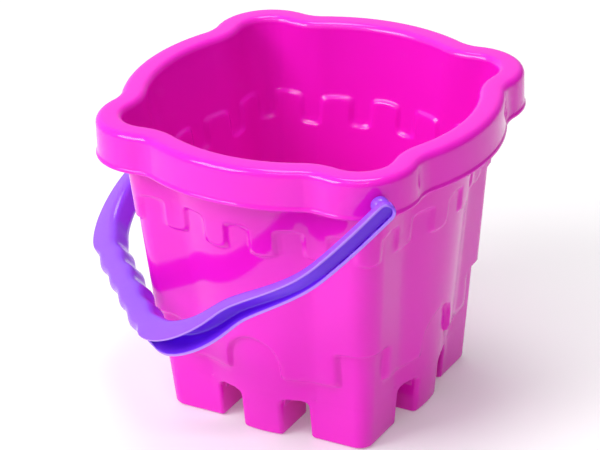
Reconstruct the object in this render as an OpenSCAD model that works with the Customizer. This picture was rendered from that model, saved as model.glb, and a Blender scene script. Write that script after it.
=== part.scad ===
// Castle sand bucket: one moulded bucket and one moulded bail handle.
// +Z is up, X is the line of the two handle pivots, and the origin is where
// the bucket's axis meets the ground that its feet stand on.

/* [Bucket] */
// Height from the ground to the top of the rim
bucket_h = 160; // [130:1:220]
// Radius of the round mouth at its inner lip
mouth_r = 80; // [65:1:110]
// Radius of the round body at the ground
base_r = 60; // [48:1:75]
// Thickness of every moulded wall
wall = 2; // [1.4:0.1:3]

/* [Rim] */
// How far a corner lobe stands out past the round mouth
lobe_out = 13.6; // [10:0.2:20]
// Radius of a corner lobe at the inner lip
lobe_r = 15; // [11:0.5:19]
// Hollow blend radius between the mouth and a lobe
blend_r = 31; // [24:1:45]
// Width of the rim from its inner lip to the face of its skirt
rim_w = 13.2; // [10:0.2:18]
// Height of the skirt that hangs from the rim
skirt_h = 20; // [15:1:28]
// How far the bead on the skirt's lower edge stands out
bead_out = 0.7; // [0.3:0.1:1.2]
// Height of that bead
bead_h = 1.8; // [1:0.1:3]

/* [Towers and relief] */
// Half width of the square of corner towers at the ground
tower_half = 55; // [50:1:66]
// Corner radius of a tower at the ground
tower_r = 7; // [4:0.5:12]
// Step of the battlement relief under the rim
upper_step = 1.6; // [1:0.1:2.2]
// Step of the gate relief above the feet
lower_step = 2.6; // [1.6:0.1:3.2]
// Width of a merlon and of a gap in the battlement relief
merlon_w = 12.8; // [10:0.2:14]
// Depth from the rim to the top of the gaps between the merlons
gap_depth = 38.4; // [34:0.2:46]
// Height of a merlon
merlon_h = 15.2; // [10:0.2:20]
// Radius of the gate arch
gate_r = 14; // [10:0.5:18]
// Height from the ground to the crown of the gate arch
gate_h = 56.5; // [48:0.5:66]
// Height from the ground to the top of the corner panels
panel_h = 55; // [46:0.5:64]
// Distance from a face's centre line to a corner panel
panel_in = 43; // [38:0.5:48]
// Height from the ground to the low edge of the gate relief
sill_h = 35; // [30:0.5:42]

/* [Feet] */
// Height of the feet under the floor
foot_h = 22; // [14:0.5:26]
// Width of the foot in the middle of each side
mid_foot_w = 22.4; // [16:0.2:28]
// Distance from the axis to the inner face of a middle foot
mid_foot_in = 34; // [28:1:40]
// Distance from a side's centre line to a corner foot
corner_foot_in = 24.6; // [20:0.2:30]

/* [Handle] */
// Height of the pivots below the top of the rim
pivot_drop = 12; // [9:0.5:14]
// Radius of a pivot pin
pin_r = 3; // [2.4:0.1:3.6]
// Radial clearance of a pin in its hole
pin_gap = 0.25; // [0.15:0.05:0.5]
// Radius of the head that keeps a pin in its hole
head_r = 4; // [3.8:0.1:4.8]
// Length of a pin's head
head_l = 1.6; // [1:0.1:2.5]
// Radius of the spacer between an arm and the skirt
spacer_r = 4.4; // [4:0.1:4.8]
// Length of that spacer
spacer_l = 6; // [3:0.5:9]
// End play between the handle and the skirt
end_play = 0.6; // [0.4:0.1:1.2]
// Length of the straight part of an arm past its pivot
arm_straight = 33; // [26:1:38]
// How far an arm leans in by the end of its straight part
arm_lean = 1.6; // [0:0.1:3]
// Distance from the pivot line to the elbow, where an arm turns in
elbow_r = 49; // [44:1:54]
// How far the elbow stands in from the pivot
elbow_in = 4.2; // [3:0.1:7]
// Distance from the middle to the calf, halfway along an arm's slant
calf_s = 92; // [87:1:97]
// Distance from the pivot line to the calf
calf_r = 69; // [64:1:74]
// Distance from the middle to the waist, where an arm turns down again
waist_s = 77; // [73:1:82]
// Distance from the pivot line to the waist
waist_r = 84; // [80:1:88]
// Distance from the middle to the heel, above the turn into the grip
heel_s = 74; // [70:1:78]
// Distance from the pivot line to the heel
heel_r = 98; // [94:1:102]
// Distance from the middle to the turn into the grip
turn_s = 58; // [54:1:64]
// Half length of the grip
grip_half = 38; // [34:1:44]
// Height of the finger waves, above and below the grip's plain face
wave_h = 0.7; // [0.2:0.1:1]
// Length of one finger wave
wave_l = 20; // [16:1:26]
// Room between the grip and the rim as the handle swings over it
swing_room = 10.5; // [6:0.5:14]
// Thickness of the handle's channel
channel_t = 1.6; // [1.4:0.1:2]
// Width of the channel at a pivot
arm_w = 9.8; // [9:0.2:12]
// Width of the channel at the grip
grip_w = 14; // [12:0.5:18]
// Depth of the channel at a pivot
arm_depth = 4.3; // [4:0.1:6]
// Depth of the channel at the grip
grip_depth = 13.7; // [11:0.1:17]
// Room between the resting grip and the tower it hangs against
rest_room = 0.5; // [0.3:0.1:1.5]

/* [Hidden] */
$fn = 96;
skin = 0.01;
past = 1;
reach = 2 * (mouth_r + lobe_out + rim_w);

// Lobe centre, and the centre of the hollow blend beside it
lobe_d = mouth_r + lobe_out - lobe_r;
blend_x = (lobe_d ^ 2 + (mouth_r + blend_r) ^ 2 - (lobe_r + blend_r) ^ 2) / (2 * lobe_d);
blend_y = sqrt((mouth_r + blend_r) ^ 2 - blend_x ^ 2);

// The innermost of the three nested skins, before each step stands out
tower_d = (tower_half - tower_r) * sqrt(2);
steps = upper_step + lower_step;
top_r = mouth_r + wall - steps;
top_lobe_r = lobe_r + wall - steps;

// Heights of the battlement relief
merlon_z = bucket_h - gap_depth - merlon_h;
gap_z = bucket_h - gap_depth;

// Pivot line, and how far out the parts on it lie
pivot_z = bucket_h - pivot_drop;
skirt_x = lobe_d + lobe_r + rim_w;
spacer_x = skirt_x + end_play;
web_x = spacer_x + spacer_l;
grip_r = skirt_x + bead_out + swing_room;

// The resting grip lies against a tower edge, whose distance from the axis
// at height z is edge_d + edge_k * z
edge_d = tower_d + tower_r + lower_step;
edge_k = (lobe_d + top_lobe_r - tower_d - tower_r) / bucket_h;
lean_a = grip_r + edge_k * grip_w / 2;
lean_b = edge_k * grip_r - grip_w / 2;
rest_drop = atan2(lean_b, lean_a)
    + acos((edge_d + edge_k * pivot_z + rest_room) / sqrt(lean_a ^ 2 + lean_b ^ 2));

// Route of the channel's web in the handle's own plane, from the end of
// one arm to the middle of the grip, and then mirrored
half_route = [
    [web_x, -arm_w / 2 - past],
    [web_x, arm_straight / 2],
    [web_x - arm_lean, arm_straight],
    [web_x - elbow_in, elbow_r],
    [calf_s, calf_r],
    [waist_s, waist_r],
    [heel_s, heel_r],
    [turn_s, grip_r - elbow_in],
    [grip_half, grip_r + wave_h],
    [grip_half / 3, grip_r]
];
last = len(half_route) - 1;
route = [
    for (p = half_route) p,
    for (i = [last:-1:0]) [-half_route[i].x, half_route[i].y]
];
per_span = 8;
stations = (len(route) - 1) * per_span;

// Uniform cubic B-spline through the route, with its ends doubled
function ctrl(i) = i < 0 ? 2 * route[0] - route[1]
    : i >= len(route) ? 2 * route[len(route) - 1] - route[len(route) - 2] : route[i];
function weight(u) = [(1 - u) ^ 3, 3 * u ^ 3 - 6 * u ^ 2 + 4, -3 * u ^ 3 + 3 * u ^ 2 + 3 * u + 1, u ^ 3] / 6;
function on_route(t) =
    let (i = min(floor(t), len(route) - 2), w = weight(t - i))
    ctrl(i - 1) * w[0] + ctrl(i) * w[1] + ctrl(i + 1) * w[2] + ctrl(i + 2) * w[3];
function outward(t) =
    let (d = on_route(min(t + 0.05, len(route) - 1)) - on_route(max(t - 0.05, 0)))
    [d.y, -d.x] / norm(d);
// 0 along the straight arm and 1 at the grip
function along_arm(y) = min(max((y - arm_straight) / (grip_r - elbow_in - arm_straight), 0), 1);
function widen(y) = along_arm(y) ^ 2 * (3 - 2 * along_arm(y));
function depth(t) = arm_depth + along_arm(on_route(t).y) ^ 2 * (grip_depth - arm_depth);
// Finger waves fade out towards the ends of the grip
function wave(s) = wave_h * cos(360 * s / wave_l) * min(max((turn_s - abs(s)) / wave_l, 0), 1);
// The route moved outwards by a fixed amount and a share of the depth, with
// the waves pressed in from both edges
function moved(fixed, share) = [
    for (i = [0:stations])
        let (t = i / per_span, p = on_route(t))
        p + outward(t) * (fixed + share * depth(t) + (1 - 2 * share) * wave(p.x))
];
// Open edge of the channel's hollow, which the grip closes with a wall
function mouth() =
    let (shut = moved(-channel_t, 1), open = moved(past, 1))
    [for (i = [0:stations]) abs(shut[i].x) < grip_half ? shut[i] : open[i]];
function backwards(list) = [for (i = [len(list) - 1:-1:0]) list[i]];

// Outline of the mouth, grown outwards: a circle, four lobes and the blends
module rim_outline(grow) {
    circle(mouth_r + grow);
    for (a = [0:90:270], side = [-1, 1])
        rotate(a) {
            translate([lobe_d, 0]) circle(lobe_r + grow);
            difference() {
                polygon([[0, 0], [lobe_d, 0], [blend_x, side * blend_y]]);
                translate([blend_x, side * blend_y]) circle(blend_r - grow);
            }
        }
}

// Round body and tower square together, grown from the innermost skin
module body_skin(grow) {
    cylinder(h = bucket_h, r1 = base_r + grow, r2 = top_r + grow);
    hull()
        for (a = [0:90:270])
            rotate(a) {
                translate([tower_d, 0, 0]) cylinder(h = skin, r = tower_r + grow, $fn = 32);
                translate([lobe_d, 0, bucket_h - skin])
                    cylinder(h = skin, r = top_lobe_r + grow, $fn = 32);
            }
}

// The four flat sides, each turned so that it faces along +X
module each_side() {
    for (a = [45:90:315])
        rotate(a) children();
}

// Everything above the merlons' lower edges, less the gaps between them
module above_battlement(inset) {
    difference() {
        translate([-reach, -reach, merlon_z + inset]) cube([2 * reach, 2 * reach, bucket_h]);
        each_side()
            for (i = [-2:2])
                translate([0, i * 2 * merlon_w - merlon_w / 2 - inset, merlon_z - past])
                    cube([reach, merlon_w + 2 * inset, merlon_h + inset + past]);
    }
}

// Everything above the sill, less the gate arches and the corner panels
module above_gate(inset) {
    difference() {
        translate([-reach, -reach, sill_h + inset]) cube([2 * reach, 2 * reach, bucket_h]);
        each_side() {
            translate([0, -gate_r - inset, 0]) cube([reach, 2 * (gate_r + inset), gate_h - gate_r]);
            translate([0, 0, gate_h - gate_r]) rotate([0, 90, 0]) cylinder(h = reach, r = gate_r + inset);
            translate([panel_in - inset, panel_in - inset, 0]) cube([reach, reach, panel_h + inset]);
        }
    }
}

// Everything above the floor, and the eight feet below it
module above_ground(inset) {
    translate([-reach, -reach, foot_h + inset]) cube([2 * reach, 2 * reach, bucket_h]);
    each_side() {
        translate([mid_foot_in + inset, inset - mid_foot_w / 2, inset])
            cube([reach, mid_foot_w - 2 * inset, foot_h + past]);
        translate([corner_foot_in + inset, corner_foot_in + inset, inset])
            cube([reach, reach, foot_h + past]);
    }
}

// The body as a solid, or with an inset its hollow
module body_form(inset) {
    intersection() {
        union() {
            body_skin(-inset);
            intersection() {
                body_skin(lower_step - inset);
                above_gate(inset);
            }
            intersection() {
                body_skin(steps - inset);
                above_battlement(inset);
            }
        }
        above_ground(inset);
    }
}

module rim() {
    translate([0, 0, bucket_h - wall]) linear_extrude(wall) rim_outline(rim_w);
    translate([0, 0, bucket_h - skirt_h])
        linear_extrude(skirt_h)
            difference() {
                rim_outline(rim_w);
                rim_outline(rim_w - wall);
            }
    translate([0, 0, bucket_h - skirt_h])
        linear_extrude(bead_h)
            difference() {
                rim_outline(rim_w + bead_out);
                rim_outline(rim_w - wall);
            }
}

module bucket() {
    color("magenta")
    difference() {
        union() {
            body_form(0);
            rim();
        }
        body_form(wall);
        translate([0, 0, bucket_h - wall - skin]) linear_extrude(wall + past) rim_outline(0);
        for (side = [0, 180])
            rotate(side)
                translate([skirt_x - 2 * wall, 0, pivot_z])
                    rotate([0, 90, 0]) cylinder(h = 4 * wall, r = pin_r + pin_gap);
    }
}

// Slab across the handle's plane: round at the arms' ends, and widening
// from the pivots to the grip
module spread(inset) {
    end_r = arm_w / 2 - inset;
    rise = grip_r - arm_straight;
    widths = [
        for (a = [-90:10:0]) [end_r * sin(a), end_r * cos(a)],
        for (i = [0:12])
            let (y = arm_straight + i * rise / 12)
            [y, end_r + widen(y) * (grip_w - arm_w) / 2],
        [reach, grip_w / 2 - inset]
    ];
    mirrored = [for (p = backwards(widths)) [p.x, -p.y]];
    translate([-reach, 0, 0])
        rotate([90, 0, 90]) linear_extrude(2 * reach) polygon(concat(widths, mirrored));
}

// Channel along its route, open outwards along the arms and closed to a
// tube at the grip: a solid bail less its hollow
module channel() {
    difference() {
        intersection() {
            spread(0);
            translate([0, 0, -grip_w])
                linear_extrude(2 * grip_w) polygon(concat(moved(0, 0), backwards(moved(0, 1))));
        }
        intersection() {
            spread(channel_t);
            translate([0, 0, -grip_w])
                linear_extrude(2 * grip_w) polygon(concat(moved(channel_t, 0), backwards(mouth())));
        }
    }
}

// Spacer, pin and head of one pivot, along +X from the middle
module pivot_stud() {
    head_x = skirt_x - wall - end_play - head_l;
    rotate([0, 90, 0]) {
        translate([0, 0, head_x]) cylinder(h = head_l, r = head_r);
        translate([0, 0, head_x]) cylinder(h = web_x + channel_t / 2 - head_x, r = pin_r);
        translate([0, 0, spacer_x]) cylinder(h = spacer_l + channel_t / 2, r = spacer_r);
    }
}

// The handle in its resting place, hanging to -Y
module handle() {
    color("mediumpurple")
    translate([0, 0, pivot_z])
        rotate([180 + rest_drop, 0, 0]) {
            channel();
            for (side = [0, 180])
                rotate([0, side, 0]) pivot_stud();
        }
}

bucket();
handle();
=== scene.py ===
"""Castle sand bucket with a swinging bail handle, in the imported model's frame.

Metres, +Z up, origin on the ground under the middle of the mouth, +X along
the line of the two handle pivots. The shape functions work in millimetres,
and the bucket's own sides are laid out straight and then turned by 45 degrees.
"""

import math

import bpy
import numpy as np
from mathutils import Matrix


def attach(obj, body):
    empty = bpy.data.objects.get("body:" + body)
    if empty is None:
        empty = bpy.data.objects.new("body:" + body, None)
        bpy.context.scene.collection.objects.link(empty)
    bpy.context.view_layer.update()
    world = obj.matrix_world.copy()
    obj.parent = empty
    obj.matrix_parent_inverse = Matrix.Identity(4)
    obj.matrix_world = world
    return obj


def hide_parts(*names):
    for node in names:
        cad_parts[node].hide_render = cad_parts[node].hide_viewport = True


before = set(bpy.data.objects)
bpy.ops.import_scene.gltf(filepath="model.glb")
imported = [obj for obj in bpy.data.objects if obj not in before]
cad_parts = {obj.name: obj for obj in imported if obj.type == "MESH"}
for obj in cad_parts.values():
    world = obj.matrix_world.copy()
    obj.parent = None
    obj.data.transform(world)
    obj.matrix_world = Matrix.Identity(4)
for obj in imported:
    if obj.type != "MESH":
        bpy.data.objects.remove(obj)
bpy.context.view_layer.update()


# ---------------------------------------------------------------- camera
# Long lens, looking down at a corner tower from the end of the pivot line.
def place_by_axes(item, right, up, back, place):
    """Turn and place an object: its X, Y and Z run along right, up and back."""
    matrix = Matrix.Identity(4)
    for column, axis in enumerate((right, up, back, place)):
        for row in range(3):
            matrix[row][column] = axis[row]
    item.matrix_world = matrix


def add_camera():
    """The camera stands back from its target, is rolled, and then shifted sideways and down."""
    azimuth, elevation, roll = np.radians([74.747, 26.694, -1.850])
    distance, right_shift, up_shift = 1.48767, 0.00597, 0.06566
    target = np.array([0, 0, 0.160])
    back = np.array([math.sin(azimuth) * math.cos(elevation),
                     -math.cos(azimuth) * math.cos(elevation), math.sin(elevation)])
    level = np.cross([0, 0, 1], back)
    level /= np.linalg.norm(level)
    upright = np.cross(back, level)
    right = level * math.cos(roll) + upright * math.sin(roll)
    up = upright * math.cos(roll) - level * math.sin(roll)
    data = bpy.data.cameras.new("camera")
    data.sensor_width = 36
    data.lens = 185.03
    data.clip_start = 0.05
    camera = bpy.data.objects.new("camera", data)
    place = target + distance * back - right_shift * right - up_shift * up
    place_by_axes(camera, right, up, back, place)
    bpy.context.scene.collection.objects.link(camera)
    bpy.context.scene.camera = camera


add_camera()


# ---------------------------------------------------------------- bucket wall
# Injection-moulded glossy pink polypropylene: a thin round body with four corner
# towers, battlement and gate relief, a broad rim and a hanging skirt with a bead.
# Swept as one closed skin from the outer wall over the rim to the inner wall.
bucket_height = 160
wall_thickness = 2
floor_underside = 22.0
base_radius, body_spread = 60, 17.8
tower_middle, tower_spread = 48, 7.58
tower_radius, tower_swell = 7, 5.8
side_turns = np.radians([45, 135, 225, 315])
# relief: the gate panel stands lower_step out, and the battlements upper_step more
lower_step, upper_step = 2.6, 1.6
gate_foot, arch_centre, gate_half = 35, 42.5, 14
panel_half, panel_top = 43, 55
battlement_foot, gap_top, gap_half = 106.4, 121.6, 6.4
gap_middles = (0, 25.6, 51.2)
# rim: a round mouth with a lobe over each tower
mouth_radius, lobe_centre, lobe_radius, blend_radius = 80, 78.6, 15, 31
blend_centre = np.array([104.22, 38.25])


def smooth(low, high, x):
    """0 below low, 1 above high, and 3u^2 - 2u^3 between them."""
    u = np.clip((x - low) / (high - low), 0, 1)
    return u * u * (3 - 2 * u)


def soft_max(a, b, k):
    """The larger of a and b, with a round join where they differ by less than k."""
    h = np.clip(0.5 + 0.5 * (a - b) / k, 0, 1)
    return b + (a - b) * h + k * h * (1 - h)


def soft_min(a, b, k):
    """The smaller of a and b, with a round join where they differ by less than k."""
    return -soft_max(-a, -b, k)


def grid_quads(rows, columns, around, along):
    """Corner numbers of the quads of a grid, joined on itself around or along."""
    r = np.arange(rows if along else rows - 1)[:, None]
    c = np.arange(columns if around else columns - 1)[None, :]
    r2, c2 = (r + 1) % rows, (c + 1) % columns
    quads = [r * columns + c, r * columns + c2, r2 * columns + c2, r2 * columns + c]
    return np.stack(quads, -1).reshape(-1, 4)


def add_piece(name, points, quads, triangles=None):
    """One mesh object from arrays in millimetres. Its volume is the sum of a . (b x c)
    over its triangles, and where that is negative every face is turned over."""
    points = points.reshape(-1, 3) * 0.001
    fans = np.zeros((0, 3), int) if triangles is None else triangles
    corners = [points[quads[:, i]] for i in range(4)]
    volume = np.einsum("ij,ij->", corners[0], np.cross(corners[1], corners[2]))
    volume += np.einsum("ij,ij->", corners[0], np.cross(corners[2], corners[3]))
    if len(fans):
        a, b, c = (points[fans[:, i]] for i in range(3))
        volume += np.einsum("ij,ij->", a, np.cross(b, c))
    if volume < 0:
        quads, fans = quads[:, ::-1], fans[:, ::-1]
    mesh = bpy.data.meshes.new(name)
    mesh.vertices.add(len(points))
    mesh.vertices.foreach_set("co", points.ravel())
    loops = np.concatenate([quads.ravel(), fans.ravel()]).astype(np.int32)
    quad_starts = np.arange(len(quads)) * 4
    fan_starts = 4 * len(quads) + np.arange(len(fans)) * 3
    starts = np.concatenate([quad_starts, fan_starts]).astype(np.int32)
    mesh.loops.add(len(loops))
    mesh.loops.foreach_set("vertex_index", loops)
    mesh.polygons.add(len(starts))
    mesh.polygons.foreach_set("loop_start", starts)
    mesh.polygons.foreach_set("use_smooth", np.ones(len(starts), bool))
    mesh.update(calc_edges=True)
    mesh.validate()
    piece = bpy.data.objects.new(name, mesh)
    bpy.context.scene.collection.objects.link(piece)
    return piece


def tower_at(z):
    """Centre and radius of a corner tower, both growing evenly with height."""
    return (tower_middle + tower_spread * z / bucket_height,
            tower_radius + tower_swell * z / bucket_height)


def face_at(s, z, grow):
    """Distance of a side from the axis at s along it: the soft maximum of the round
    body, sqrt(R^2 - s^2), and the flat side of the square round the towers."""
    centre, radius = tower_at(z)
    body = base_radius + body_spread * z / bucket_height + grow
    around = np.sqrt(np.maximum(body ** 2 - s ** 2, 1))
    return soft_max(around, centre + radius + grow, 2.4)


def relief_at(s, z, inset):
    """How far the skin stands out of its innermost place: lower_step where z is above
    the gate, its arch and its panel, and upper_step more above the battlement line,
    gaps left out. Each edge is a smooth step of 1.5 across."""
    s = np.abs(s)
    edge, slant, join = 0.75, 0.45, 3
    gate = np.where(z > arch_centre, np.hypot(s, z - arch_centre) - gate_half, s - gate_half) * 0.7
    panel = soft_max((panel_half - s) * slant, z - panel_top, join)
    lower = soft_min(soft_min(z - gate_foot, gate, 2), panel, 2)
    upper = z - battlement_foot
    for middle in gap_middles:
        gap = soft_max((np.abs(s - middle) - gap_half) * slant, z - gap_top, join)
        upper = soft_min(upper, gap, join)
    return (lower_step * smooth(-edge, edge, lower - inset / 4)
            + upper_step * smooth(-edge, edge, upper - inset / 4))


def wall_rows(heights, inset, trim=0):
    """Points [row, column] of the wall at each height: the flat of a side out to its tower,
    the tower's first 45 degrees, then the same mirrored, and so four times round."""
    # the columns lie closer together on both sides of every upright edge of the relief
    close, wide = np.array([-0.9, -0.4, 0, 0.4, 0.9]), np.array([-0.5, 0, 0.5])
    lines = [np.arange(0, 15.01, 1.0), [17, 22.5, 25.6, 28.8, 35, 38, 40.8]]
    lines += [edge + close for edge in (6.4, 14, 19.2, 32, 43.2)]
    lines += [edge + wide for edge in (8.4, 17.2, 30, 34.2, 45)]
    lines = np.unique(np.round(np.concatenate(lines), 1))
    z = np.asarray(heights, float)[:, None]
    centre, radius = tower_at(z)
    to_tower = lines[-1] + (centre - lines[-1]) * np.array([[0.34, 0.67]])
    flat = np.concatenate([lines + 0 * z, to_tower], 1)
    turn = np.radians(np.linspace(0, 45, 11))[None, :]
    trim = np.broadcast_to(np.asarray(trim, float), len(heights))[:, None]
    grow = relief_at(flat, z, inset) - inset - trim
    flat_x, flat_y = face_at(flat, z, grow), flat
    guess = centre + (radius + 2) * np.sin(turn)
    grow = relief_at(guess, z, inset) - inset - trim
    arc_x = centre + (radius + grow) * np.cos(turn)
    arc_y = centre + (radius + grow) * np.sin(turn)
    x, y = np.concatenate([flat_x, arc_x], 1), np.concatenate([flat_y, arc_y], 1)
    side_x = np.concatenate([x[:, :-1], y[:, :0:-1]], 1)
    side_y = np.concatenate([y[:, :-1], x[:, :0:-1]], 1)
    sides = []
    for angle in side_turns:
        sides.append(np.stack([side_x * math.cos(angle) - side_y * math.sin(angle),
                               side_x * math.sin(angle) + side_y * math.cos(angle)], -1))
    level = np.concatenate(sides, 1)
    rise = np.broadcast_to(z[..., None], (*level.shape[:2], 1))
    return np.concatenate([level, rise], -1)


def rim_radius(angle, grow):
    """Mouth outline grown by grow, as the distance along a ray to the circle that it meets:
    c cos(a) + sqrt(r^2 - c^2 sin^2(a)) on a lobe, the near root on a hollow blend, or the mouth."""
    quarter = math.pi / 2
    off = np.abs((angle + quarter / 2) % quarter - quarter / 2)
    lobe_axis = np.array([lobe_centre, 0])
    reach = (lobe_radius + grow) / (lobe_radius + blend_radius)
    meet = lobe_axis + (blend_centre - lobe_axis) * reach
    at_lobe = math.atan2(meet[1], meet[0])
    at_mouth = math.atan2(blend_centre[1], blend_centre[0])
    across = (lobe_radius + grow) ** 2 - (lobe_centre * np.sin(off)) ** 2
    lobe = lobe_centre * np.cos(off) + np.sqrt(np.maximum(across, 0))
    along = blend_centre[0] * np.cos(off) + blend_centre[1] * np.sin(off)
    across = along ** 2 - blend_centre @ blend_centre + (blend_radius - grow) ** 2
    hollow = along - np.sqrt(np.maximum(across, 0))
    return np.where(off < at_lobe, lobe, np.where(off < at_mouth, hollow, mouth_radius + grow))


def bucket_wall():
    """Rows of the outer wall upwards, the rim's profile carried round the mouth outline,
    and the inner wall downwards, joined to one ring of rows."""
    up = [22.0, 22.1, 22.4, 22.9, 23.5, 26, 30, 34.1, 34.6, 35, 35.4, 35.9, 39, 41.5,
          *np.arange(43.4, 58.1, 0.85), 61, 68, 76, 84, 92, 99, 104.6, 105.5, 106, 106.4,
          106.8, 107.3, 108.5, 111, 115, 118.8, 120.2, 121, 121.6, 122.2, 123, 126, 131,
          136, 141, 146, 151, 155, 157.4]
    down = [156.4, 153, 149, 145, 141, 136, 131, 126, 123.4, 122.6, 122.1, 121.6, 120.8,
            119, 115, 111, 108.6, 107.6, 107, 106.5, 105.9, 104.8, 101, 95, 88, 80, 72, 65,
            *np.arange(58.4, 42.5, -1.1), 40, 37, 36, 35.5, 35, 34.4, 32, 29, 26, 24,
            floor_underside]
    round_foot = np.zeros(len(up))
    round_foot[:4] = [0.9, 0.5, 0.15, 0]
    outer, inner = wall_rows(up, 0, round_foot), wall_rows(down, wall_thickness)
    angle = np.arctan2(inner[0, :, 1], inner[0, :, 0])
    # profile as (growth of the mouth outline, height): under the rim and down inside
    # the skirt, round its bead, up its outside, over the edge and to the lip
    edge_radius, lip_radius = 3.6, 3.4
    profile = [(4.5, 158), (9.6, 158), (10.9, 157.6), (11.2, 156.6), (11.2, 150), (11.2, 144),
               (11.2, 140.6), (11.5, 140.1), (12.6, 140), (13.4, 140.05), (13.8, 140.3),
               (13.9, 140.8), (13.85, 141.3), (13.55, 141.8), (13.25, 142.2), (13.2, 143),
               (13.2, 147), (13.2, 152)]
    profile += [(9.6 + edge_radius * math.cos(a), 156.3 + edge_radius * math.sin(a))
                for a in np.radians(np.linspace(0, 90, 8))]
    profile += [(7.6, 159.97), (5.4, 159.97)]
    lip_foot = 156.6
    profile += [(3.4 + lip_radius * math.cos(a), lip_foot + lip_radius * math.sin(a))
                for a in np.radians(np.linspace(90, 180, 8))]
    rim = []
    for grow, z in profile:
        radius = rim_radius(angle, grow)
        rim.append(np.stack([radius * np.cos(angle), radius * np.sin(angle),
                             np.full_like(angle, z)], -1))
    rim = np.array(rim)
    # the inner wall leaves the lip on the lip's own outline, and settles to the body's below it
    share = smooth(128, lip_foot, inner[..., 2:3])
    lip_row = rim[-1][None] * [1, 1, 0]
    body_top = wall_rows([lip_foot], wall_thickness)[0][None] * [1, 1, 0]
    inner = inner + share * (lip_row - body_top)
    points = np.concatenate([outer, rim, inner])
    return points, grid_quads(len(points), points.shape[1], True, True)


class Sock:
    """A shader socket with arithmetic: each operator adds one maths node."""

    def __init__(self, tree, socket):
        self.tree = tree
        self.socket = socket

    def node(self, kind, output=0, settings=None, **inputs):
        """Any other node: its type, its settings, and its inputs by name, or i0, i1 by number."""
        made = self.tree.nodes.new(kind)
        for key, value in (settings or {}).items():
            setattr(made, key, value)
        for key, value in inputs.items():
            numbered = key[0] == "i" and key[1:].isdigit()
            target = made.inputs[int(key[1:]) if numbered else key.replace("_", " ")]
            if isinstance(value, Sock):
                self.tree.links.new(value.socket, target)
            else:
                target.default_value = value
        return Sock(self.tree, made.outputs[output])

    def math(self, operation, first, second):
        return self.node("ShaderNodeMath", settings={"operation": operation}, i0=first, i1=second)

    def __add__(self, other):
        return self.math("ADD", self, other)

    def __mul__(self, other):
        return self.math("MULTIPLY", self, other)

    def __sub__(self, other):
        return self.math("SUBTRACT", self, other)

    def __rsub__(self, other):
        return self.math("SUBTRACT", other, self)

    __radd__ = __add__
    __rmul__ = __mul__

    def ramp(self, low, high, to_low=0.0, to_high=1.0):
        """Linear from to_low at low to to_high at high, and level outside them."""
        return self.node("ShaderNodeMapRange", i0=self, i1=low, i2=high, i3=to_low, i4=to_high)

    def noise(self, scale, detail=3.0, rough=0.5):
        return self.node("ShaderNodeTexNoise", Vector=self, Scale=scale, Detail=detail,
                         Roughness=rough)

    def mix(self, first, second):
        """The colour first where this is 0 and second where it is 1."""
        made = self.tree.nodes.new("ShaderNodeMix")
        made.data_type = "RGBA"
        self.tree.links.new(self.socket, made.inputs[0])
        for slot, value in ((6, first), (7, second)):
            if isinstance(value, Sock):
                self.tree.links.new(value.socket, made.inputs[slot])
            else:
                made.inputs[slot].default_value = (*value, 1)
        return Sock(self.tree, made.outputs[2])


def new_material(name):
    """A node material, with a socket of its object coordinates, and its shader."""
    material = bpy.data.materials.new(name)
    material.use_nodes = True
    tree = material.node_tree
    place = tree.nodes.new("ShaderNodeTexCoord")
    return material, Sock(tree, place.outputs["Object"]), tree.nodes["Principled BSDF"]


def plug(value, shader, name):
    """Link a socket to the shader's input of that name."""
    value.tree.links.new(value.socket, shader.inputs[name])


def pink_plastic():
    """Glossy pink: slow clouds of colour, fine scuffs in the gloss, and a faint waviness."""
    material, place, shader = new_material("pink plastic")
    cloud = place.noise(14.0, 4.0)
    grain = place.noise(420.0, 2.0)
    scuff = place.noise(60.0, 6.0, 0.7)
    plug(cloud.mix((0.83, 0.007, 0.57), (0.87, 0.010, 0.62)), shader, "Base Color")
    plug(scuff.ramp(0.35, 0.7, 0.07, 0.13), shader, "Roughness")
    waviness = cloud * 0.7 + grain * 0.05
    bump = place.node("ShaderNodeBump", Strength=0.10, Distance=0.0004, Height=waviness)
    plug(bump, shader, "Normal")
    shader.inputs["IOR"].default_value = 1.49
    shader.inputs["Specular IOR Level"].default_value = 0.42
    shader.inputs["Subsurface Weight"].default_value = 0.25
    shader.inputs["Subsurface Radius"].default_value = (0.006, 0.001, 0.004)
    return material


pink = pink_plastic()
wall = add_piece("bucket_wall", *bucket_wall())
wall.data.materials.append(pink)
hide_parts("bucket")
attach(wall, "bucket")


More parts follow.
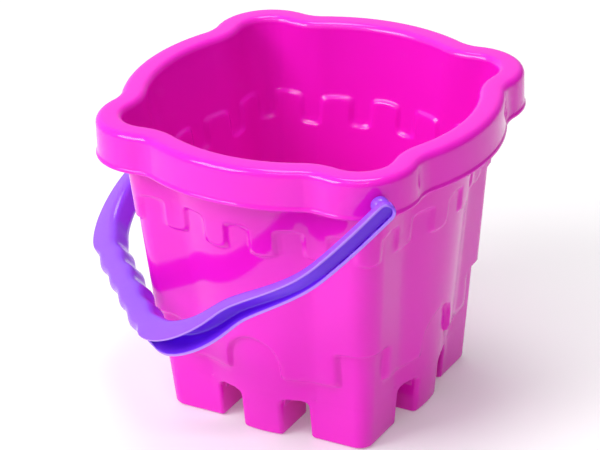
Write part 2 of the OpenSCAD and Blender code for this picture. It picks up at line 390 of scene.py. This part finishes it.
# ---------------------------------------------------------------- bucket floor
# The floor of the same moulding: a thin plate that dips into each hollow foot.
# A height field on lines that follow the pockets' edges, with an even underside.
def bucket_floor():
    """Two height fields over one grid, top = 24 - 22 d and underside = 22 - 20.6 d, where
    d is 1 in a pocket and 0 outside it, and the underside's pockets are wider."""
    middle_near, middle_far, middle_half = 36.0, 57.2, 9.2
    corner_near, corner_far = 26.6, 52.0
    slope, floor_top, pocket_widening = 0.35, 24, 0.9
    edges = np.array([middle_half, corner_near, middle_near, corner_far, middle_far])
    near = np.concatenate([edges + shift for shift in (-0.9, -slope, 0, slope, 0.9)])
    between = [3, 6, 13, 18, 22, 31, 40, 44, 48, 54.5, 60]
    half = np.unique(np.round(np.concatenate([near, between]), 2))
    line = np.concatenate([-half[::-1], [0], half])
    x, y = np.meshgrid(line, line, indexing="ij")
    ax, ay = np.abs(x), np.abs(y)

    def pockets(spread):
        """1 in a pocket and 0 outside, as products of smooth steps at its edges."""
        def past(edge, widen, a):
            return smooth(edge - slope + widen, edge + slope + widen, a)

        def between_edges(a, start, stop):
            return past(start, -spread, a) * (1 - past(stop, spread, a))

        on_x = between_edges(ax, middle_near, middle_far) * (1 - past(middle_half, spread, ay))
        on_y = between_edges(ay, middle_near, middle_far) * (1 - past(middle_half, spread, ax))
        corner = (between_edges(ax, corner_near, corner_far)
                  * between_edges(ay, corner_near, corner_far))
        return np.maximum(np.maximum(on_x, on_y), corner)

    # the outermost lines bend to run along the middle of the wall
    tower, into_wall, corner_reach = 49, -1.0, 6.6
    px = np.sign(x) * np.minimum(ax, face_at(np.minimum(ay, tower), 23.0, into_wall))
    py = np.sign(y) * np.minimum(ay, face_at(np.minimum(ax, tower), 23.0, into_wall))
    past_x, past_y = np.abs(px) - tower, np.abs(py) - tower
    out = np.hypot(np.maximum(past_x, 0), np.maximum(past_y, 0))
    pull = np.where((past_x > 0) & (past_y > 0),
                    np.minimum(1, corner_reach / np.maximum(out, 1e-6)), 1)
    px = np.where(pull < 1, np.sign(px) * (tower + past_x * pull), px)
    py = np.where(pull < 1, np.sign(py) * (tower + past_y * pull), py)
    top = floor_top - 22 * pockets(0.0)
    bottom = floor_underside - 20.6 * pockets(pocket_widening)
    turn = side_turns[0]
    wx = px * math.cos(turn) - py * math.sin(turn)
    wy = px * math.sin(turn) + py * math.cos(turn)
    n = len(line)
    quads = grid_quads(n, n, False, False)
    index = np.arange(n * n).reshape(n, n)
    loop = np.concatenate([index[0, :], index[1:, -1], index[-1, -2::-1], index[-2:0:-1, 0]])
    after = np.roll(loop, -1)
    side = np.stack([loop, loop + n * n, after + n * n, after], -1)
    points = np.concatenate([np.stack([wx, wy, z], -1).reshape(-1, 3) for z in (top, bottom)])
    return points, np.concatenate([quads[:, ::-1], quads + n * n, side[:, ::-1]])


floor_plate = add_piece("bucket_floor", *bucket_floor())
floor_plate.data.materials.append(pink)
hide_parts("bucket")
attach(floor_plate, "bucket")


# ---------------------------------------------------------------- bucket feet
# Eight hollow blocks of the same moulding, like the merlons of an upturned tower.
# Each is a rounded outline swept up from its underside, and flares into the base.
def block_outline(x0, x1, y0, y1, radii):
    """Rounded rectangle, anticlockwise from the (x1, y0) corner: a quarter circle of each
    corner's own radius, and evenly spaced points on the straight to the next."""
    arcs = []
    corners = ((x1, y0), (x1, y1), (x0, y1), (x0, y0))
    for (cx, cy), r, start in zip(corners, radii, (-90, 0, 90, 180)):
        a = np.radians(start + np.linspace(0, 90, 9))
        in_x, in_y = (r if cx == x1 else -r), (r if cy == y1 else -r)
        arcs.append(np.stack([cx - in_x + r * np.cos(a), cy - in_y + r * np.sin(a)], -1))
    share = np.linspace(0, 1, 12)[1:-1, None]
    outline = []
    for arc, after in zip(arcs, arcs[1:] + arcs[:1]):
        outline += [arc, arc[-1] * (1 - share) + after[0] * share]
    return np.concatenate(outline)


def foot_outline(kind, z, inset):
    """A foot's outline at height z, shrunk by inset. Its outer edge is drawn on to the
    wall's own face, a hair inside it."""
    hair, edge_round = 0.02, 2.2
    centre, radius = tower_at(z)
    skin = max(inset, 0)
    if kind == "middle":
        near, far, half = 34 + inset, 58, 11.2 - inset
        outline = block_outline(near, far, -half, half, [edge_round - skin * 0.5] * 4)
        face = face_at(outline[:, 1], z, 0) - skin - hair
        outline[:, 0] += smooth(48, far, outline[:, 0]) * (face - far)
        return outline
    near, edge = 24.6 + inset, centre + radius - skin - hair
    outline = block_outline(near, edge, near, edge, [2, radius - skin * 0.5, 2, 2])
    bulge_x = face_at(outline[:, 1], z, 0) - centre - radius
    bulge_y = face_at(outline[:, 0], z, 0) - centre - radius
    on_x, on_y = outline[:, 0] > edge - 2, outline[:, 1] > edge - 2
    outline[:, 0] += np.where(on_x & (outline[:, 1] < centre), bulge_x, 0)
    outline[:, 1] += np.where(on_y & (outline[:, 0] < centre), bulge_y, 0)
    return outline


def bucket_feet():
    """Each foot is its outline carried up a profile of (height, inset): a quarter round at
    the sole, straight up, then a flare of 4 into the floor. Fans close both ends."""
    sole_round, flare_foot, flare = 2.2, 18, 4
    levels = [(sole_round * (1 - math.cos(a)), sole_round * (1 - math.sin(a)))
              for a in np.radians(np.linspace(12, 90, 7))]
    levels += [(z, 0) for z in (5, 9, 13, 17)]
    levels += [(flare_foot + flare * math.sin(a), -flare * (1 - math.cos(a)))
               for a in np.radians(np.linspace(10, 88, 8))]
    levels += [(22.6, -flare), (23.8, -flare)]
    blocks, quads, fans, start = [], [], [], 0
    for angle in side_turns:
        for kind in ("middle", "corner"):
            rows = []
            for z, inset in levels:
                outline = foot_outline(kind, z, inset)
                x = outline[:, 0] * math.cos(angle) - outline[:, 1] * math.sin(angle)
                y = outline[:, 0] * math.sin(angle) + outline[:, 1] * math.cos(angle)
                rows.append(np.stack([x, y, np.full_like(x, z)], -1))
            first, last = rows[0], rows[-1]
            middle = first.mean(0)
            sole = [(middle + (first - middle) * share) * [1, 1, 0] for share in (0.3, 0.65, 0.93)]
            rows = np.array(sole + rows)
            count, n = rows.shape[:2]
            poles = np.array([middle * [1, 1, 0], last.mean(0)])
            blocks.append(np.concatenate([rows.reshape(-1, 3), poles]))
            here = np.arange(n)
            after = (here + 1) % n
            top = n * (count - 1)
            low = np.stack([here * 0 + n * count, after, here], -1)
            high = np.stack([here * 0 + n * count + 1, here + top, after + top], -1)
            quads.append(grid_quads(count, n, True, False) + start)
            fans.append(np.concatenate([low, high]) + start)
            start += len(blocks[-1])
    return np.concatenate(blocks), np.concatenate(quads), np.concatenate(fans)


feet = add_piece("bucket_feet", *bucket_feet())
feet.data.materials.append(pink)
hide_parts("bucket")
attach(feet, "bucket")


# ---------------------------------------------------------------- handle bail
# Injection-moulded glossy violet plastic: U-channel arms open outwards, which
# close to a tube with finger waves at the grip. Swept along its own route.
pivot_height = 148.0
hang_drop = math.radians(40.77)
arm_web, arm_straight, grip_reach = 113.4, 33.0, 118.0
arm_half, grip_extra_half, channel_wall = 4.9, 2.1, 1.6
arm_depth, grip_extra_depth = 4.3, 9.4
grip_half, wave_half, wave_length, wave_height = 38, 58, 20, 0.7


def bail_route():
    """Points across and away from the pivot line: a uniform cubic B-spline of the control
    points and their mirror, which passes near them, cut at the arms' round ends and
    spaced evenly, with more points in the last 5 at each end."""
    half = [(arm_web, -5.9), (arm_web, 16.5), (arm_web - 1.6, arm_straight),
            (arm_web - 4.2, 49), (92, 69), (77, 84), (74, 98), (wave_half, grip_reach - 4.2),
            (grip_half, grip_reach + 0.7), (12.7, grip_reach)]
    knots = np.array(half + [(-x, y) for x, y in half[::-1]])
    knots = np.concatenate([[2 * knots[0] - knots[1]], knots, [2 * knots[-1] - knots[-2]]])
    t = np.linspace(0, len(knots) - 3 - 1e-9, 1700)
    k = t.astype(int)
    u = (t - k)[:, None]
    route = ((1 - u) ** 3 * knots[k] + (3 * u ** 3 - 6 * u ** 2 + 4) * knots[k + 1]
             + (-3 * u ** 3 + 3 * u ** 2 + 3 * u + 1) * knots[k + 2]
             + u ** 3 * knots[k + 3]) / 6
    route = route[route[:, 1] > -arm_half]
    length = np.concatenate([[0], np.cumsum(np.hypot(*np.diff(route, axis=0).T))])
    near_end = np.linspace(0, 5, 12)
    even = np.linspace(0, length[-1], 420)
    even = np.unique(np.concatenate([even, near_end, length[-1] - near_end]))
    return np.stack([np.interp(even, length, route[:, i]) for i in range(2)], -1)


def bail():
    """The channel's section, as (half width, depth), carried along the route. With share
    going from 0 to 1 along the arm, its depth is 4.3 + 9.4 share^2, its half width grows
    by 2.1 (3 share^2 - 2 share^3), and at the grip the two flanges meet. The finger waves
    are a cosine along the grip, and the arm's ends are half circles."""
    route = bail_route()
    ahead = np.gradient(route, axis=0)
    ahead /= np.linalg.norm(ahead, axis=1)[:, None]
    out = np.stack([ahead[:, 1], -ahead[:, 0]], -1)
    s, r = route[:, 0:1], route[:, 1:2]
    share = np.clip((r - arm_straight) / (grip_reach - 4.2 - arm_straight), 0, 1)
    swell = share ** 2 * (3 - 2 * share)
    deep = arm_depth + grip_extra_depth * share ** 2
    fade = np.clip((wave_half - np.abs(s)) / 20, 0, 1)
    wave = wave_height * np.cos(2 * math.pi * s / wave_length) * fade
    past_pivot = np.minimum(r, 0) ** 2
    round_end = np.sqrt(np.clip(arm_half ** 2 - past_pivot, 0, None))
    round_inside = np.sqrt(np.clip((arm_half - channel_wall) ** 2 - past_pivot, 0, None))
    wide = np.where(r < 0, round_end, arm_half + grip_extra_half * swell)
    hollow = np.where(r < 0, round_inside, wide - channel_wall)
    shut = np.where(r > 90, 1 - smooth(grip_half, 46, np.abs(s)), 0)
    ajar = 1 - shut
    hollow_here = hollow > 0.02

    # back corners of the web, and the flanges' outer edges: a round tip, or at the grip
    # a broad round corner that runs to the middle
    quarter = np.linspace(0, math.pi / 2, 7)[None, :]
    corner_round = np.minimum(0.9 + 3.2 * swell, wide * 0.8)
    tip_round = np.minimum(0.6 + 3.6 * shut, wide * 0.8)
    slit = 0.05 * shut

    def floor_of(depth_where_hollow):
        """That depth inside the channel, and the channel's mouth where there is no hollow."""
        return np.where(hollow_here, depth_where_hollow, deep)

    # columns from the middle of the web's back, round one flange, to the middle of the channel
    columns = [
        (0 * s, 0 * s),
        (wide - corner_round * (1 - np.sin(quarter)), corner_round * (1 - np.cos(quarter))),
        (wide, deep * 0.5),
        (wide - tip_round * (1 - np.cos(quarter)), deep - tip_round * (1 - np.sin(quarter))),
        (np.minimum((wide - channel_wall / 2) * ajar + slit, wide), deep + 0 * s),
        (hollow * ajar + slit, floor_of(deep - 0.35 * ajar - channel_wall * shut)),
        (hollow * ajar + np.maximum(hollow - 1.5, 0) * shut,
         floor_of(deep - 0.8 * ajar - channel_wall * shut)),
        (hollow, floor_of(deep * 0.55)),
        (hollow, floor_of(channel_wall + 0.8)),
        (np.maximum(hollow - 0.25, 0), floor_of(channel_wall + 0.25)),
        (np.maximum(hollow - 0.8, 0), floor_of(channel_wall)),
        (0 * s, floor_of(channel_wall)),
    ]
    lateral = np.concatenate([column[0] for column in columns], 1)
    depth = np.concatenate([column[1] for column in columns], 1)
    lateral = np.concatenate([lateral, -lateral[:, -2:0:-1]], 1)
    depth = np.concatenate([depth, depth[:, -2:0:-1]], 1)
    depth = depth + wave * (1 - 2 * depth / deep)
    x, y = s + out[:, 0:1] * depth, r + out[:, 1:2] * depth

    # the bail's plane hangs below the level on the -Y side
    points = np.stack([x, -y * math.cos(hang_drop) - lateral * math.sin(hang_drop),
                       pivot_height - y * math.sin(hang_drop) + lateral * math.cos(hang_drop)], -1)
    count, n = points.shape[:2]
    fan = np.arange(1, n - 1)
    low = np.stack([fan * 0, fan, fan + 1], -1)
    high = np.stack([fan * 0, fan + 1, fan], -1) + n * (count - 1)
    # painted light: 1 is painted shade on the faces inside the channel, -1 a painted highlight on
    # the flange tips, and 0 where the grip is closed
    half_painted_light = np.array([0] * 12 + [-0.6] + [-1] * 4 + [-0.6, 0.6] + [1] * 5)
    painted_light = np.concatenate([half_painted_light, half_painted_light[-2:0:-1]]) * ajar * hollow_here
    return (points, grid_quads(count, n, True, False), np.concatenate([low, high])), painted_light


def violet_plastic():
    """Glossy violet: slow clouds of colour, with painted shade darkening the inside of the channel
    and a painted highlight paling the flange tips, fine scuffs in the gloss and a faint waviness."""
    material, place, shader = new_material("violet plastic")
    cloud = place.noise(18.0, 4.0)
    grain = place.noise(500.0, 2.0)
    scuff = place.noise(70.0, 6.0, 0.7)
    # the attribute holds painted light: painted shade inside the channel, a painted highlight on
    # the flange tips
    painted_light = place.node("ShaderNodeAttribute", output=2, settings={"attribute_name": "painted_light"})
    plain = cloud.mix((0.25, 0.06, 0.82), (0.29, 0.075, 0.88))
    # painted shade: inside the channel the colour is darkened to a deep violet
    deep = painted_light.ramp(0.0, 1.0).mix(plain, (0.17, 0.010, 0.84))
    # painted highlight: on the flange tips the colour is paled to a light lilac
    plug(painted_light.ramp(0.0, -1.0).mix(deep, (0.46, 0.22, 0.95)), shader, "Base Color")
    plug(scuff.ramp(0.35, 0.7, 0.14, 0.22), shader, "Roughness")
    waviness = cloud * 0.6 + grain * 0.10
    bump = place.node("ShaderNodeBump", Strength=0.06, Distance=0.0003, Height=waviness)
    plug(bump, shader, "Normal")
    shader.inputs["IOR"].default_value = 1.47
    shader.inputs["Subsurface Weight"].default_value = 0.2
    shader.inputs["Subsurface Radius"].default_value = (0.002, 0.001, 0.004)
    return material


violet = violet_plastic()
bail_mesh, bail_painted_light = bail()
handle = add_piece("handle_bail", *bail_mesh)
# per-vertex painted shade and painted highlight for the violet material
painted_light_layer = handle.data.attributes.new("painted_light", "FLOAT", "POINT")
painted_light_layer.data.foreach_set("value", bail_painted_light.ravel())
handle.data.materials.append(violet)
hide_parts("handle")
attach(handle, "handle")


# ---------------------------------------------------------------- handle pins
# The spacer, pin and head at each end of the handle, moulded with it.
# A stepped profile with rounded edges, turned about the pivot line.
def pins():
    """Profile of (place along the pivot line, radius) turned a full circle: the spacer
    from the arm's web inwards, the pin through the skirt, and its head. The other end
    is its mirror."""
    on_axis = 1e-4
    profile = [(114.6, on_axis), (114.6, 4.3), (107.9, 4.4), (107.5, 4.3), (107.4, 4.0),
               (107.4, 3.1), (107.2, 3.0), (104.3, 3.0), (104.2, 3.2), (104.2, 3.7),
               (103.9, 4.0), (103.2, 4.0), (102.7, 3.6), (102.6, 3.0), (102.6, on_axis)]
    turn = np.linspace(0, 2 * math.pi, 49)[:-1]
    along, radius = (np.array(value)[:, None] for value in zip(*profile))
    one = np.stack([along + 0 * turn, radius * np.cos(turn),
                    pivot_height + radius * np.sin(turn)], -1)
    other = one * [-1, 1, 1]
    quads = grid_quads(len(profile), len(turn), True, False)
    points = np.concatenate([one.reshape(-1, 3), other.reshape(-1, 3)])
    return points, np.concatenate([quads, quads[:, ::-1] + one.size // 3])


pin_pair = add_piece("handle_pins", *pins())
pin_pair.data.materials.append(violet)
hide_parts("handle")
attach(pin_pair, "handle")


# ---------------------------------------------------------------- floor and light
# A plain pale floor, a pale sky that is brighter on the key lamp's side, and
# three soft lamps: the key, a narrow strip for the highlights, and one above.
def stage_and_light():
    """The sky's strength falls evenly with 0.4 x + 0.9 y - 0.5 z of its direction."""
    half = 4
    mesh = bpy.data.meshes.new("floor")
    mesh.from_pydata([(-half, -half, 0), (half, -half, 0), (half, half, 0), (-half, half, 0)],
                     [], [(0, 1, 2, 3)])
    ground = bpy.data.objects.new("floor", mesh)
    bpy.context.scene.collection.objects.link(ground)
    material, _, shader = new_material("pale floor")
    shader.inputs["Base Color"].default_value = (0.80, 0.80, 0.80, 1)
    shader.inputs["Roughness"].default_value = 0.7
    shader.inputs["Emission Color"].default_value = (1, 1, 1, 1)
    shader.inputs["Emission Strength"].default_value = 0.16
    ground.data.materials.append(material)
    world = bpy.data.worlds.new("sky")
    world.use_nodes = True
    tree = world.node_tree
    background = tree.nodes["Background"]
    background.inputs[0].default_value = (1, 1, 1, 1)
    direction = tree.nodes.new("ShaderNodeTexCoord")
    parts = tree.nodes.new("ShaderNodeSeparateXYZ")
    tree.links.new(direction.outputs["Generated"], parts.inputs[0])
    x, y, z = (Sock(tree, parts.outputs[n]) for n in range(3))
    strength = (x * 0.4 + y * 0.9 - z * 0.5).ramp(-0.8, 0.5, 0.85, 0.2)
    tree.links.new(strength.socket, background.inputs[1])
    bpy.context.scene.world = world
    bpy.context.scene.view_settings.view_transform = "Standard"
    for name, place, aim, wide, tall, power in (
            ("key", (0.30, -1.45, 1.25), (0, 0, 0.08), 0.9, 0.8, 19),
            ("strip", (0.75, -0.30, 1.35), (0, 0, 0.12), 0.9, 0.06, 3.2),
            ("top", (-0.35, 0.1, 1.7), (0, 0, 0.0), 0.7, 0.7, 9)):
        data = bpy.data.lights.new(name, "AREA")
        data.energy = power
        data.shape = "RECTANGLE"
        data.size = wide
        data.size_y = tall
        lamp = bpy.data.objects.new(name, data)
        away = np.array(place) - np.array(aim)
        away /= np.linalg.norm(away)
        side = np.cross([0, 0, 1], away)
        side /= np.linalg.norm(side)
        place_by_axes(lamp, side, np.cross(away, side), away, place)
        bpy.context.scene.collection.objects.link(lamp)


stage_and_light()
